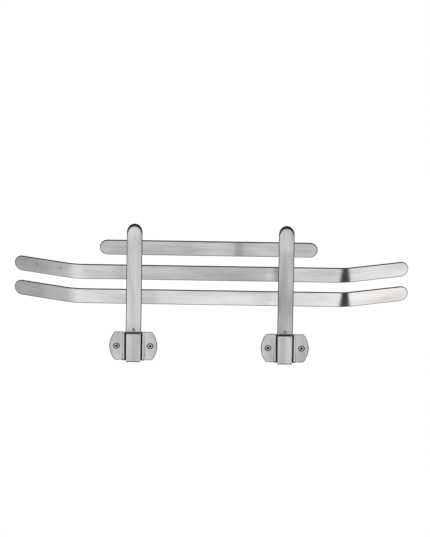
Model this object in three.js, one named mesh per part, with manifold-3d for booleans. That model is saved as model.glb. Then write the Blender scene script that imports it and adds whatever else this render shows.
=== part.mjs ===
// Folding wall rack of flat steel bar, in millimetres, +Z up.
//
// Two plates screwed to the wall each carry a pair of ears. A knuckle block turns between the
// ears on a pin, with a spacer on each side of it, and carries an upright arm. Three horizontal
// slats lie behind the two arms. The long slats' ends and the arms' tips bend towards the wall,
// so they turn up when the rack is folded down. The rack is built folded up. The wall is the
// plane y = 0, the front faces -Y, and the origin is on the wall midway between the two plates'
// centres.

import * as THREE from 'three';
import * as BufferGeometryUtils from 'three/addons/utils/BufferGeometryUtils.js';
import Module from 'manifold-3d';

const wasm = await Module();
wasm.setup();

// ---- Driving dimensions ----

const ARM_SPACING = 243; // between the two arms' centre lines
const BAR_WIDTH = 25; // of the arms and slats
const BAR_THICKNESS = 3;

const PLATE_WIDTH = 77; // across the bulged ends
const PLATE_HEIGHT = 49;
const PLATE_THICKNESS = 3;
const PLATE_STRAIGHT = 60; // length of the straight top and bottom edges
const PLATE_CORNER_RADIUS = 3;

const BLOCK_WIDTH = 24;
const BLOCK_TOP = 25.8;
const BLOCK_BOTTOM = -24;
const BLOCK_FRONT = -15;
const BLOCK_BACK = -3.3;
const BLOCK_FRONT_ROUND = 3; // on the lower front edge
const BLOCK_TOP_ROUND = 1; // on the upper front edge
const TONGUE_TOP = 37; // the knuckle's tongue behind the arm's foot

const PIVOT_Y = -9.6;
const PIVOT_Z = BLOCK_BOTTOM + (BLOCK_BACK - PIVOT_Y);
const PIN_RADIUS = 2.5;
const PIN_CLEARANCE = 0.08;
const EAR_THICKNESS = 3;
const EAR_GAP = 2.2; // from the knuckle's side to the ear
const EAR_NOSE_RADIUS = 4.4; // round the pin
const EAR_TOP_DEPTH = 3; // how far the ear stands off the plate at its top
const SPACER_THICKNESS = 1.8;
const SPACER_INSET = 0.4; // how far its edge lies inside the ear's
const SPACER_PLATE_GAP = 0.2;

const ARM_FRONT = -9.5;
const ARM_TOP = 210.5;
const ARM_TIP_RISE = 18; // height of the half-oval that ends the arm
const TIP_BEND_RADIUS = 7; // of the front face
const TIP_BEND_ANGLE = THREE.MathUtils.degToRad(40);

const SLAT_HEIGHTS = { lower: 87, middle: 129, upper: 171.5 }; // centre lines
const SHORT_SLAT_LENGTH = 348;
const SHORT_SLAT_SHIFT = -2.8; // it sits a little to the left
const BEND_CORNER_X = 217; // where the middle and the end of a long slat would meet
const BENDS = {
  left: { angle: THREE.MathUtils.degToRad(20.5), radius: 90, reach: 313.5 },
  right: { angle: THREE.MathUtils.degToRad(18.5), radius: 65, reach: 317.5 },
}; // reach: from the middle of the rack to the bent end's tip

const RIVET_RADIUS = 2;
const RIVET_CLEARANCE = 0.1;
const RIVET_HEAD_RADIUS = 3.5;
const RIVET_HEAD_HEIGHT = 1.6;
const FLUSH_HEAD_RADIUS = 3.4;
const FLUSH_HEAD_DEPTH = 1.4;
const FOOT_RIVET_Z = 31; // through the arm's foot and the knuckle's tongue
const FOOT_RIVET_HEAD_RADIUS = 2.6;
const FOOT_RIVET_RADIUS = 1.6;
const FOOT_RIVET_HEAD_HEIGHT = 0.9;

const SCREW_OFFSET = 27; // from the plate's centre
const SCREW_HEAD_RADIUS = 4.5;
const SCREW_SHANK_RADIUS = 2.1;
const SCREW_LENGTH = 30;
const SCREW_POINT_LENGTH = 5;
const SCREW_POINT_RADIUS = 0.2;
const SCREW_HEAD_DEPTH = 2.5;
const SCREW_HOLE_RADIUS = 2.4;
const SCREW_SEAT_CLEARANCE = 0.15;
const RECESS_LENGTH = 4.6;
const RECESS_WIDTH = 1.1;
const RECESS_DEPTH = 1.6;

const BUFFER_BOTTOM = 186;
const BUFFER_TOP = 210.8;
const BUFFER_TIP_RISE = 15; // it is blunter than the arm's tip, and shows round it
const BUFFER_WALL_GAP = 0.3;
const BUFFER_ARM_GAP = 0.05;

const DOME_SHOULDER = 0.87; // a rivet head's radius at half its height, as a share
const DOME_CROWN = 0.5; // and at its top

const CUT_OVERRUN = 0.5; // how far a cutting solid passes through the face that it opens
const MERGE_DISTANCE = 1e-4;
const ARC_STEPS = 10;
const ROUND_SEGMENTS = 24;

// ---- Derived places ----

const HALF_BAR = BAR_WIDTH / 2;
const ARM_BACK = ARM_FRONT + BAR_THICKNESS;
const TIP_BEND_START = ARM_TOP - TIP_BEND_RADIUS * Math.sin(TIP_BEND_ANGLE);
const TIP_BEND_CENTRE_Y = ARM_FRONT + TIP_BEND_RADIUS;
const SLAT_BACK = ARM_BACK + BAR_THICKNESS;
const EAR_INNER = BLOCK_WIDTH / 2 + EAR_GAP;
const EAR_OUTER = EAR_INNER + EAR_THICKNESS;
const SIDES = [
  { side: 'left', x: -ARM_SPACING / 2 },
  { side: 'right', x: ARM_SPACING / 2 },
];

// ---- Materials ----

const steel = new THREE.MeshStandardMaterial({ color: 0xc4c3c1, roughness: 0.32, metalness: 1 });
const screwSteel = new THREE.MeshStandardMaterial({ color: 0x9a9894, roughness: 0.4, metalness: 1 });
const rubber = new THREE.MeshStandardMaterial({ color: 0x141312, roughness: 0.75, metalness: 0 });
const nylon = new THREE.MeshStandardMaterial({ color: 0x1b1b1c, roughness: 0.5, metalness: 0 });

// ---- Solids ----

function toSolid(geometry) {
  const bare = geometry.clone();
  bare.deleteAttribute('normal');
  bare.deleteAttribute('uv');
  const merged = BufferGeometryUtils.mergeVertices(bare, MERGE_DISTANCE);
  const mesh = new wasm.Mesh({
    numProp: 3,
    vertProperties: new Float32Array(merged.attributes.position.array),
    triVerts: new Uint32Array(merged.index.array),
  });
  return new wasm.Manifold(mesh);
}

function toGeometry(solid) {
  const mesh = solid.getMesh();
  const geometry = new THREE.BufferGeometry();
  geometry.setAttribute('position', new THREE.BufferAttribute(mesh.vertProperties, 3));
  geometry.setIndex(new THREE.BufferAttribute(mesh.triVerts, 1));
  return geometry;
}

// Extrudes a shape along +Z, and then turns it so that the shape's own axes lie along u and v.
function extrude(shape, depth, u, v, w) {
  const geometry = new THREE.ExtrudeGeometry(shape, {
    depth,
    bevelEnabled: false,
    curveSegments: ARC_STEPS,
  });
  return geometry.applyMatrix4(new THREE.Matrix4().makeBasis(u, v, w));
}

const X = new THREE.Vector3(1, 0, 0);
const Y = new THREE.Vector3(0, 1, 0);
const Z = new THREE.Vector3(0, 0, 1);

// A (y, z) outline, solid from x = from to x = to.
function solidAlongX(shape, from, to) {
  return toSolid(extrude(shape, to - from, Y, Z, X).translate(from, 0, 0));
}

// An (x, z) outline, solid from y = front to y = back.
function solidAlongY(shape, front, back) {
  return toSolid(extrude(shape, back - front, X, Z, Y.clone().negate()).translate(0, back, 0));
}

// An (x, y) outline, solid from z = from to z = to.
function solidAlongZ(shape, from, to) {
  return toSolid(extrude(shape, to - from, X, Y, Z).translate(0, 0, from));
}

// A round solid on an axis along Y through (x, z), from [radius, y] pairs in order of y.
function turned(profile, x, z) {
  const first = profile[0];
  const last = profile[profile.length - 1];
  const points = [[0, first[1]], ...profile, [0, last[1]]].map(([r, y]) => new THREE.Vector2(r, y));
  const geometry = new THREE.LatheGeometry(points, ROUND_SEGMENTS);
  return toSolid(geometry.translate(x, 0, z));
}

function box(width, depth, height, x, y, z) {
  return toSolid(new THREE.BoxGeometry(width, depth, height).translate(x, y, z));
}

function roundHole(x, y, radius) {
  const hole = new THREE.Path();
  hole.absarc(x, y, radius, 0, 2 * Math.PI, false);
  return hole;
}

function part(name, solid, material) {
  const mesh = new THREE.Mesh(toGeometry(solid), material);
  mesh.name = name;
  return mesh;
}

// ---- Wall brackets ----

// The plate has straight top and bottom edges and ends bulged to an arc.
function plateOutline() {
  const halfHeight = PLATE_HEIGHT / 2;
  const halfStraight = PLATE_STRAIGHT / 2;
  const bulge = PLATE_WIDTH / 2 - halfStraight;
  const endRadius = (halfHeight * halfHeight + bulge * bulge) / (2 * bulge);
  const endCentre = PLATE_WIDTH / 2 - endRadius;
  const cornerCentreZ = halfHeight - PLATE_CORNER_RADIUS;
  const reach = endRadius - PLATE_CORNER_RADIUS;
  const cornerCentreX = endCentre + Math.sqrt(reach * reach - cornerCentreZ * cornerCentreZ);
  const join = Math.atan2(cornerCentreZ, cornerCentreX - endCentre);
  const quarter = Math.PI / 2;
  const shape = new THREE.Shape();
  shape.absarc(cornerCentreX, -cornerCentreZ, PLATE_CORNER_RADIUS, -quarter, -join, false);
  shape.absarc(endCentre, 0, endRadius, -join, join, false);
  shape.absarc(cornerCentreX, cornerCentreZ, PLATE_CORNER_RADIUS, join, quarter, false);
  shape.absarc(-cornerCentreX, cornerCentreZ, PLATE_CORNER_RADIUS, quarter, 2 * quarter - join, false);
  shape.absarc(-endCentre, 0, endRadius, 2 * quarter - join, 2 * quarter + join, false);
  shape.absarc(-cornerCentreX, -cornerCentreZ, PLATE_CORNER_RADIUS, 2 * quarter + join, 3 * quarter, false);
  shape.closePath();
  return shape;
}

// An ear is round about the pin, and slopes back to the plate at its top. It is drawn from its
// root's y, and smaller by inset.
function earOutline(root, inset) {
  const top = PLATE_HEIGHT / 2 - inset;
  const noseRadius = EAR_NOSE_RADIUS - inset;
  const shape = new THREE.Shape();
  shape.moveTo(root, top);
  shape.lineTo(-PLATE_THICKNESS - EAR_TOP_DEPTH + inset, top);
  shape.absarc(PIVOT_Y, PIVOT_Z, noseRadius, Math.PI, 1.5 * Math.PI, false);
  shape.lineTo(root, PIVOT_Z - noseRadius);
  shape.closePath();
  shape.holes.push(roundHole(PIVOT_Y, PIVOT_Z, PIN_RADIUS + PIN_CLEARANCE));
  return shape;
}

function screwSeat(x) {
  const mouth = SCREW_HEAD_RADIUS + SCREW_SEAT_CLEARANCE;
  const seatDepth = mouth - SCREW_HOLE_RADIUS;
  const front = -PLATE_THICKNESS;
  return turned(
    [
      [mouth + CUT_OVERRUN, front - CUT_OVERRUN],
      [SCREW_HOLE_RADIUS, front + seatDepth],
      [SCREW_HOLE_RADIUS, CUT_OVERRUN],
    ],
    x,
    0,
  );
}

function bracketSolid() {
  let solid = solidAlongY(plateOutline(), -PLATE_THICKNESS, 0);
  for (const start of [-EAR_OUTER, EAR_INNER]) {
    const outline = earOutline(-PLATE_THICKNESS / 2, 0);
    solid = solid.add(solidAlongX(outline, start, start + EAR_THICKNESS));
  }
  for (const x of [-SCREW_OFFSET, SCREW_OFFSET]) {
    solid = solid.subtract(screwSeat(x));
  }
  return solid;
}

// Countersunk wood screw with a cross recess, its head flush with the plate's face.
function wallScrewSolid(x) {
  const front = -PLATE_THICKNESS;
  const tip = front + SCREW_LENGTH;
  let screw = turned(
    [
      [SCREW_HEAD_RADIUS, front],
      [SCREW_SHANK_RADIUS, front + SCREW_HEAD_DEPTH],
      [SCREW_SHANK_RADIUS, tip - SCREW_POINT_LENGTH],
      [SCREW_POINT_RADIUS, tip],
    ],
    x,
    0,
  );
  const recessDepth = RECESS_DEPTH + CUT_OVERRUN;
  const recessCentre = front + RECESS_DEPTH - recessDepth / 2;
  screw = screw.subtract(box(RECESS_LENGTH, recessDepth, RECESS_WIDTH, x, recessCentre, 0));
  return screw.subtract(box(RECESS_WIDTH, recessDepth, RECESS_LENGTH, x, recessCentre, 0));
}

function pivotPinSolid() {
  const section = new THREE.Shape();
  section.absarc(PIVOT_Y, PIVOT_Z, PIN_RADIUS, 0, 2 * Math.PI, false);
  return solidAlongX(section, -EAR_OUTER, EAR_OUTER);
}

// A spacer fills the gap between the knuckle and an ear, and stops just short of the plate.
function spacerSolid(direction) {
  const outline = earOutline(-PLATE_THICKNESS - SPACER_PLATE_GAP, SPACER_INSET);
  const centre = direction * (BLOCK_WIDTH + EAR_GAP) / 2;
  return solidAlongX(outline, centre - SPACER_THICKNESS / 2, centre + SPACER_THICKNESS / 2);
}

// ---- Knuckles and arms ----

// The heel is round about the pin, and its flat underside meets the plate when folded down.
function knuckleOutline() {
  const heelRadius = BLOCK_BACK - PIVOT_Y;
  const quarter = Math.PI / 2;
  const lowRound = BLOCK_FRONT_ROUND;
  const shape = new THREE.Shape();
  shape.moveTo(BLOCK_BACK, TONGUE_TOP);
  shape.lineTo(ARM_BACK, TONGUE_TOP);
  shape.lineTo(ARM_BACK, BLOCK_TOP);
  shape.absarc(
    BLOCK_FRONT + BLOCK_TOP_ROUND,
    BLOCK_TOP - BLOCK_TOP_ROUND,
    BLOCK_TOP_ROUND,
    quarter,
    2 * quarter,
    false,
  );
  shape.absarc(BLOCK_FRONT + lowRound, BLOCK_BOTTOM + lowRound, lowRound, 2 * quarter, 3 * quarter, false);
  shape.absarc(PIVOT_Y, PIVOT_Z, heelRadius, -quarter, 0, false);
  shape.closePath();
  shape.holes.push(roundHole(PIVOT_Y, PIVOT_Z, PIN_RADIUS + PIN_CLEARANCE));
  return shape;
}

function knuckleSolid() {
  const solid = solidAlongX(knuckleOutline(), -BLOCK_WIDTH / 2, BLOCK_WIDTH / 2);
  const radius = FOOT_RIVET_RADIUS + RIVET_CLEARANCE;
  const front = ARM_BACK - CUT_OVERRUN;
  const back = BLOCK_BACK + CUT_OVERRUN;
  return solid.subtract(turned([[radius, front], [radius, back]], 0, FOOT_RIVET_Z));
}

// The arm in side view: straight, with its last few millimetres bent towards the wall.
function armProfile() {
  const inner = TIP_BEND_RADIUS - BAR_THICKNESS;
  const end = Math.PI - TIP_BEND_ANGLE;
  const shape = new THREE.Shape();
  shape.moveTo(ARM_BACK, BLOCK_TOP);
  shape.lineTo(ARM_BACK, TIP_BEND_START);
  shape.absarc(TIP_BEND_CENTRE_Y, TIP_BEND_START, inner, Math.PI, end, true);
  shape.absarc(TIP_BEND_CENTRE_Y, TIP_BEND_START, TIP_BEND_RADIUS, end, Math.PI, false);
  shape.lineTo(ARM_FRONT, BLOCK_TOP);
  shape.closePath();
  return shape;
}

// A bar in front view, square at the bottom and ending in a half-oval at the top.
function tipOutline(top, rise) {
  const shape = new THREE.Shape();
  shape.moveTo(-HALF_BAR, BLOCK_TOP);
  shape.lineTo(HALF_BAR, BLOCK_TOP);
  shape.absellipse(0, top - rise, HALF_BAR, rise, 0, Math.PI, false, 0);
  shape.closePath();
  return shape;
}

// The hole for a rivet whose flush head is in the arm's front face.
function flushRivetHole(z) {
  const radius = RIVET_RADIUS + RIVET_CLEARANCE;
  const mouth = FLUSH_HEAD_RADIUS + RIVET_CLEARANCE;
  return turned(
    [
      [mouth, ARM_FRONT - CUT_OVERRUN],
      [mouth, ARM_FRONT],
      [radius, ARM_FRONT + FLUSH_HEAD_DEPTH],
      [radius, SLAT_BACK + CUT_OVERRUN],
    ],
    0,
    z,
  );
}

function armSolid() {
  const front = ARM_FRONT - CUT_OVERRUN;
  const back = ARM_BACK + CUT_OVERRUN;
  let solid = solidAlongX(armProfile(), -HALF_BAR, HALF_BAR);
  solid = solid.intersect(solidAlongY(tipOutline(ARM_TOP, ARM_TIP_RISE), front, 0));
  for (const z of Object.values(SLAT_HEIGHTS)) {
    solid = solid.subtract(flushRivetHole(z));
  }
  const radius = FOOT_RIVET_RADIUS + RIVET_CLEARANCE;
  return solid.subtract(turned([[radius, front], [radius, back]], 0, FOOT_RIVET_Z));
}

function flushRivetSolid(z) {
  return turned(
    [
      [FLUSH_HEAD_RADIUS, ARM_FRONT],
      [RIVET_RADIUS, ARM_FRONT + FLUSH_HEAD_DEPTH],
      [RIVET_RADIUS, SLAT_BACK],
      [RIVET_HEAD_RADIUS, SLAT_BACK],
      [RIVET_HEAD_RADIUS * DOME_SHOULDER, SLAT_BACK + RIVET_HEAD_HEIGHT / 2],
      [RIVET_HEAD_RADIUS * DOME_CROWN, SLAT_BACK + RIVET_HEAD_HEIGHT],
    ],
    0,
    z,
  );
}

function footRivetSolid() {
  return turned(
    [
      [FOOT_RIVET_HEAD_RADIUS * DOME_CROWN, ARM_FRONT - FOOT_RIVET_HEAD_HEIGHT],
      [FOOT_RIVET_HEAD_RADIUS * DOME_SHOULDER, ARM_FRONT - FOOT_RIVET_HEAD_HEIGHT / 2],
      [FOOT_RIVET_HEAD_RADIUS, ARM_FRONT],
      [FOOT_RIVET_RADIUS, ARM_FRONT],
      [FOOT_RIVET_RADIUS, BLOCK_BACK],
    ],
    0,
    FOOT_RIVET_Z,
  );
}

// A rubber pad behind the arm's tip that rests on the wall.
function bufferSolid() {
  const inner = TIP_BEND_RADIUS - BAR_THICKNESS - BUFFER_ARM_GAP;
  const end = Math.PI - TIP_BEND_ANGLE;
  const side = new THREE.Shape();
  side.moveTo(-BUFFER_WALL_GAP, BUFFER_BOTTOM);
  side.lineTo(-BUFFER_WALL_GAP, BUFFER_TOP);
  side.lineTo(TIP_BEND_CENTRE_Y, BUFFER_TOP);
  side.absarc(TIP_BEND_CENTRE_Y, TIP_BEND_START, inner, end, Math.PI, false);
  side.lineTo(ARM_BACK + BUFFER_ARM_GAP, BUFFER_BOTTOM);
  side.closePath();
  const solid = solidAlongX(side, -HALF_BAR, HALF_BAR);
  return solid.intersect(solidAlongY(tipOutline(BUFFER_TOP, BUFFER_TIP_RISE), ARM_FRONT, 0));
}

// ---- Slats ----

// One bent end in plan: places along the outline of the front and back faces.
function bentEnd({ angle, radius, reach }) {
  const start = BEND_CORNER_X - radius * Math.tan(angle / 2);
  const arcX = start + radius * Math.sin(angle);
  const arcY = ARM_BACK + radius * (1 - Math.cos(angle));
  const tipY = arcY + (reach - arcX) * Math.tan(angle);
  const backX = reach - BAR_THICKNESS * Math.sin(angle);
  const backY = tipY + BAR_THICKNESS * Math.cos(angle);
  return { angle, radius, start, centreY: ARM_BACK + radius, reach, tipY, backX, backY };
}

// A long slat in plan: straight in the middle, with both ends bent towards the wall.
function longSlatPlan() {
  const right = bentEnd(BENDS.right);
  const left = bentEnd(BENDS.left);
  const down = -Math.PI / 2;
  const shape = new THREE.Shape();
  shape.moveTo(-left.start, ARM_BACK);
  shape.absarc(right.start, right.centreY, right.radius, down, down + right.angle, false);
  shape.lineTo(right.reach, right.tipY);
  shape.lineTo(right.backX, right.backY);
  shape.absarc(
    right.start,
    right.centreY,
    right.radius - BAR_THICKNESS,
    down + right.angle,
    down,
    true,
  );
  shape.absarc(-left.start, left.centreY, left.radius - BAR_THICKNESS, down, down - left.angle, true);
  shape.lineTo(-left.backX, left.backY);
  shape.lineTo(-left.reach, left.tipY);
  shape.absarc(-left.start, left.centreY, left.radius, down - left.angle, down, false);
  shape.closePath();
  return shape;
}

// A slat in front view, with half-round ends that look narrower where the end is bent back.
function slatOutline(left, right, holes) {
  const leftRound = HALF_BAR * Math.cos(left.angle);
  const rightRound = HALF_BAR * Math.cos(right.angle);
  const quarter = Math.PI / 2;
  const shape = new THREE.Shape();
  shape.absellipse(right.reach - rightRound, 0, rightRound, HALF_BAR, -quarter, quarter, false, 0);
  shape.absellipse(-left.reach + leftRound, 0, leftRound, HALF_BAR, quarter, 3 * quarter, false, 0);
  shape.closePath();
  for (const x of holes) {
    shape.holes.push(roundHole(x, 0, RIVET_RADIUS + RIVET_CLEARANCE));
  }
  return shape;
}

function longSlatSolid() {
  const plan = solidAlongZ(longSlatPlan(), -HALF_BAR, HALF_BAR);
  const holes = SIDES.map(({ x }) => x);
  const outline = slatOutline(BENDS.left, BENDS.right, holes);
  const deepest = Math.max(bentEnd(BENDS.left).backY, bentEnd(BENDS.right).backY);
  return plan.intersect(solidAlongY(outline, ARM_BACK - CUT_OVERRUN, deepest + CUT_OVERRUN));
}

function shortSlatSolid() {
  const holes = SIDES.map(({ x }) => x - SHORT_SLAT_SHIFT);
  const end = { angle: 0, reach: SHORT_SLAT_LENGTH / 2 };
  return solidAlongY(slatOutline(end, end, holes), ARM_BACK, SLAT_BACK);
}

// ---- Assembly ----

const rack = new THREE.Group();

for (const { side, x } of SIDES) {
  const fixed = new THREE.Group();
  fixed.position.x = x;
  fixed.add(part(`bracket_${side}`, bracketSolid(), steel));
  fixed.add(part(`pivot_pin_${side}`, pivotPinSolid(), steel));
  for (const [place, direction] of [['a', -1], ['b', 1]]) {
    fixed.add(part(`side_spacer_${side}_${place}`, spacerSolid(direction), nylon));
    fixed.add(part(`wall_screw_${side}_${place}`, wallScrewSolid(direction * SCREW_OFFSET), screwSteel));
  }
  rack.add(fixed);

  const folding = new THREE.Group();
  folding.position.x = x;
  folding.add(part(`knuckle_${side}`, knuckleSolid(), steel));
  folding.add(part(`arm_${side}`, armSolid(), steel));
  folding.add(part(`foot_rivet_${side}`, footRivetSolid(), steel));
  folding.add(part(`buffer_${side}`, bufferSolid(), rubber));
  for (const [slat, z] of Object.entries(SLAT_HEIGHTS)) {
    folding.add(part(`slat_rivet_${side}_${slat}`, flushRivetSolid(z), steel));
  }
  rack.add(folding);
}

const lowerSlat = part('slat_lower', longSlatSolid(), steel);
lowerSlat.position.z = SLAT_HEIGHTS.lower;
const middleSlat = part('slat_middle', longSlatSolid(), steel);
middleSlat.position.z = SLAT_HEIGHTS.middle;
const upperSlat = part('slat_upper', shortSlatSolid(), steel);
upperSlat.position.set(SHORT_SLAT_SHIFT, 0, SLAT_HEIGHTS.upper);
rack.add(lowerSlat, middleSlat, upperSlat);

export default rack;
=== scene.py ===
from math import atan2, cos, hypot, pi, radians, sin, sqrt, tan

import bmesh
import bpy
from bpy.types import Operator, Panel, PropertyGroup
from mathutils import Matrix, Vector


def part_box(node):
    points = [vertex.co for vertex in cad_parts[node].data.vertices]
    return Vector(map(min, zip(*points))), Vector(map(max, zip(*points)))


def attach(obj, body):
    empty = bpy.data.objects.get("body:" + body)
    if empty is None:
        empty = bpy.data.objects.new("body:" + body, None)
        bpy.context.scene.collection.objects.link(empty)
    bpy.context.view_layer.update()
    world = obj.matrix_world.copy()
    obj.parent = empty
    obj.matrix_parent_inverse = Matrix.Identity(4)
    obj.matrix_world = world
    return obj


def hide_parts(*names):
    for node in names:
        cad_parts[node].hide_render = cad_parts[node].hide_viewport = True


bl_info = {
    "name": "Folding Wall Rack",
    "version": (1, 0, 0),
    "blender": (4, 5, 0),
    "location": "View3D > Sidebar > Wall Rack",
    "description": "Makes a folding wall rack of brushed steel bar around its frame",
    "category": "Object",
}

# ---- Places and sizes that come from the frame, in metres ----

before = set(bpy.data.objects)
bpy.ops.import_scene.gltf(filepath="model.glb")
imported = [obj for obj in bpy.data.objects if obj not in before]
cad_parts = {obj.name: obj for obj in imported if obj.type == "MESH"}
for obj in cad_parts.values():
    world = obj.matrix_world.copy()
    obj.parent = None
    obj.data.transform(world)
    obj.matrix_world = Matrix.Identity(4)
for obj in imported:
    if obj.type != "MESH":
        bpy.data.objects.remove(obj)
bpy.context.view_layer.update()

SIDES = ("left", "right")
SLATS = ("lower", "middle", "upper")
MM = 0.001


def middle_of(node):
    low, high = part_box(node)
    return (low + high) / 2


def size_of(node):
    low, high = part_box(node)
    return high - low


ARM_LOW, ARM_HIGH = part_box("arm_left")
BAR_WIDTH = ARM_HIGH.x - ARM_LOW.x
BAR_HALF = BAR_WIDTH / 2
ARM_FRONT = ARM_LOW.y
SLAT_LOW, SLAT_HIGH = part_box("slat_upper")
SLAT_FRONT = SLAT_LOW.y
BAR_THICKNESS = SLAT_HIGH.y - SLAT_LOW.y
PLATE_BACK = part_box("bracket_left")[1].y
PIN = middle_of("pivot_pin_left")
ROUND_PART = radians(50)  # edges of turned pieces sharper than this stay sharp
FLOOR_RADIUS = 16.9
BACKDROP_RADIUS = 17.0  # outside the camera's distance
SENSOR = 36.0
AIM = Vector((7.6 * MM, 0.0, 135.3 * MM))  # the point that the camera looks at


# ---- Settings a user would change ----


def number(name, description, value, **limits):
    return bpy.props.FloatProperty(name=name, description=description, default=value, **limits)


def length(name, description, millimetres):
    value = millimetres * MM
    return number(name, description, value, precision=5, unit="LENGTH", subtype="DISTANCE")


def angle(name, description, degrees):
    return number(name, description, radians(degrees), unit="ROTATION", subtype="ANGLE")


def share(name, description, value):
    return number(name, description, value, min=0.0, max=1.0, subtype="FACTOR")


def tint(name, description, value):
    return bpy.props.FloatVectorProperty(
        name=name, description=description, default=value, size=3, min=0.0, max=1.0,
        subtype="COLOR",
    )


class BarSettings(PropertyGroup):
    edge_round: length("Edge rounding", "Rounding of a bar's long edges", 0.8)
    # The dark border and the rounded edges are painted shade, in the finish's edge colour.
    painted_shade_border: length("Dark border", "Unbrushed border of a bar's faces", 0.9)
    bend_corner: length("Bend corner", "Where a slat's middle and end would meet", 217)
    left_bend: angle("Left bend", "Turn of a long slat's left end", 20.5)
    right_bend: angle("Right bend", "Turn of a long slat's right end", 18.5)
    left_radius: length("Left radius", "Front radius of the left bends", 90)
    right_radius_top: length("Right radius, top", "Right bends' radius, upper edge", 44)
    right_radius_bottom: length("Right radius, bottom", "Right bends' radius, lower edge", 84)
    tip_bend: angle("Tip bend", "Turn of an arm's tip", 40)
    tip_radius: length("Tip radius", "Front radius of a tip's bend", 7)
    tip_rise: length("Tip height", "Height of an arm's half-oval end", 18)


class BracketSettings(PropertyGroup):
    plate_thickness: length("Plate thickness", "Of a wall plate", 3)
    plate_straight: length("Straight edge", "Length of a plate's straight top edge", 60)
    corner_radius: length("Corner radius", "Rounding of a plate's corners", 3)
    plate_bevel: length("Plate bevel", "Rounding of a plate's front edge", 1.2)
    ear_thickness: length("Ear thickness", "Of an ear beside a hinge block", 3)
    ear_nose: length("Ear nose", "Radius of an ear round the pin", 4.4)
    ear_top_depth: length("Ear top", "How far an ear's top stands off its plate", 3)
    ear_bevel: length("Ear bevel", "Rounding of an ear's edges", 0.5)
    seat_radius: length("Seat radius", "Mouth of a countersink", 5.1)
    hole_radius: length("Hole radius", "Straight part of a screw hole", 2.4)
    screw_offset: length("Screw offset", "From a plate's centre to a screw", 27)


class KnuckleSettings(PropertyGroup):
    block_top: length("Block top", "Height of a block's top face", 25.8)
    tongue_front: length("Tongue front", "Face of the tongue behind an arm's foot", -6.5)
    front_round: length("Front rounding", "Of a block's lower front edge", 3)
    top_round: length("Top rounding", "Of a block's upper front edge", 1.6)
    bevel: length("Side bevel", "Rounding of a block's side edges", 1.9)
    pin_hole: length("Pin hole", "Radius of the hole for a pin", 2.58)


class FastenerSettings(PropertyGroup):
    head_radius: length("Head radius", "Of a wall screw's head", 3.9)
    head_sink: length("Head sink", "How far a screw's head lies below its plate", 0.35)
    head_depth: length("Head depth", "Height of a screw's cone", 2.3)
    thread_radius: length("Thread radius", "Over a screw's thread", 2.1)
    core_radius: length("Core radius", "Under a screw's thread", 1.5)
    pitch: length("Pitch", "Distance between a screw's turns", 1.9)
    point: length("Point", "Length of a screw's point", 5)
    recess_length: length("Recess length", "Of the cross recess's arms", 4.6)
    recess_width: length("Recess width", "Of the cross recess's arms", 2.5)
    recess_depth: length("Recess depth", "Of the cross recess", 2.1)
    foot_head: length("Foot rivet head", "Radius of the head on an arm's foot", 2.6)
    slat_head: length("Slat rivet head", "Radius of a head behind a slat", 3.5)
    slat_head_height: length("Slat rivet height", "Height of a head behind a slat", 1.6)
    seed: bpy.props.IntProperty(
        name="Seed", description="Turns each fastener its own way", default=4, min=0
    )


class FinishSettings(PropertyGroup):
    steel: tint("Steel", "Colour of the brushed faces", (0.66, 0.6465, 0.6385))
    # The edge colour is painted shade on the edges of the bars, plates and blocks.
    steel_edge: tint("Steel edge", "Colour of the unbrushed edges", (0.075, 0.074, 0.073))
    brushing: share("Brushing", "Strength of the brushed lines", 0.55)
    clouding: share("Clouding", "Strength of the soft clouds", 0.5)
    rubber: tint("Rubber", "Colour of the buffers", (0.012, 0.012, 0.012))
    nylon: tint("Nylon", "Colour of the spacers", (0.004, 0.004, 0.0045))


class StageSettings(PropertyGroup):
    camera_distance: length("Camera distance", "From the camera to the rack", 15000)
    camera_rise: angle("Camera rise", "How far above square the camera looks down", 22)
    camera_roll: angle("Camera roll", "How far the camera leans", -0.9)
    view_height: length("View height", "Height that the camera takes in", 859.2)
    floor_drop: length("Floor drop", "From the plates' centre down to the floor", 900)


# ---- Meshes ----


def settings():
    return bpy.context.scene.wall_rack


def link(name, data):
    piece = bpy.data.objects.new(name, data)
    bpy.context.scene.collection.objects.link(piece)
    return piece


def mesh_of(name, built):
    """A mesh from a bmesh, with its faces pointing outwards."""
    bmesh.ops.remove_doubles(built, verts=built.verts, dist=1e-7)
    bmesh.ops.recalc_face_normals(built, faces=built.faces)
    mesh = bpy.data.meshes.new(name)
    built.to_mesh(mesh)
    built.free()
    return mesh


def evaluated(piece, name):
    """The piece's mesh with its modifiers applied. The piece itself is removed."""
    bpy.context.view_layer.update()
    graph = bpy.context.evaluated_depsgraph_get()
    mesh = bpy.data.meshes.new_from_object(piece.evaluated_get(graph), depsgraph=graph)
    mesh.name = name
    old = piece.data
    bpy.data.objects.remove(piece)
    store = bpy.data.meshes if isinstance(old, bpy.types.Mesh) else bpy.data.curves
    store.remove(old)
    return mesh


def smooth(mesh, sharp_angle=radians(38)):
    """Smooth shading with sharp corners, and flat faces that stay flat."""
    for face in mesh.polygons:
        face.use_smooth = True
    mesh.set_sharp_from_angle(angle=sharp_angle)
    piece = link(mesh.name, mesh)
    weighted = piece.modifiers.new("Flat faces", "WEIGHTED_NORMAL")
    weighted.keep_sharp = True
    weighted.weight = 100
    return evaluated(piece, mesh.name)


def finish_piece(name, mesh, material, body, nodes):
    if not mesh.polygons:
        raise RuntimeError(name + " came out empty")
    mesh.materials.clear()
    mesh.materials.append(material)
    piece = link(name, mesh)
    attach(piece, body)
    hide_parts(*nodes)
    return piece


def cut(base, tool, operation):
    """The base mesh joined with the tool mesh, or cut by it."""
    piece = link("cut_base", base)
    other = link("cut_tool", tool)
    boolean = piece.modifiers.new("Cut", "BOOLEAN")
    boolean.operation = operation
    boolean.solver = "EXACT"
    boolean.object = other
    mesh = evaluated(piece, base.name)
    bpy.data.objects.remove(other)
    bpy.data.meshes.remove(tool)
    return mesh


# ---- Outlines and slabs ----


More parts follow.
